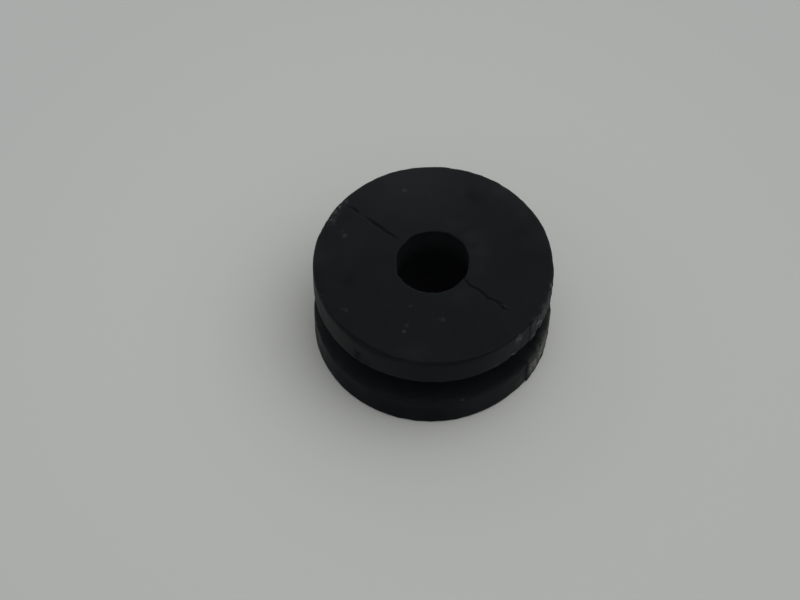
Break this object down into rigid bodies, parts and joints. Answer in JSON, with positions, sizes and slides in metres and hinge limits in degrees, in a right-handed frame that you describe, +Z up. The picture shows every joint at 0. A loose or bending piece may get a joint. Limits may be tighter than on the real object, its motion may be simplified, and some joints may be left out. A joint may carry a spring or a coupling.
{
  "type": "rubber mount",
  "caption": "Round moulded rubber mount: a spool with a through bore for a bolt and a groove that snaps into a panel, with torn parting line and flash marks.",
  "frame": {"origin": "centre of the bore at the bottom face", "axes": "+Z up along the bore; +X along the mould's parting plane, towards the end of the rim where flash was left proud; +Y towards the mould half that carries the flash"},
  "size_m": [0.0203, 0.0204, 0.0094],
  "materials": {
    "black_rubber": "matt moulded black rubber"
  },
  "bodies": {
    "root": {"rubber_mount": "black_rubber"}
  },
  "joints": []
}
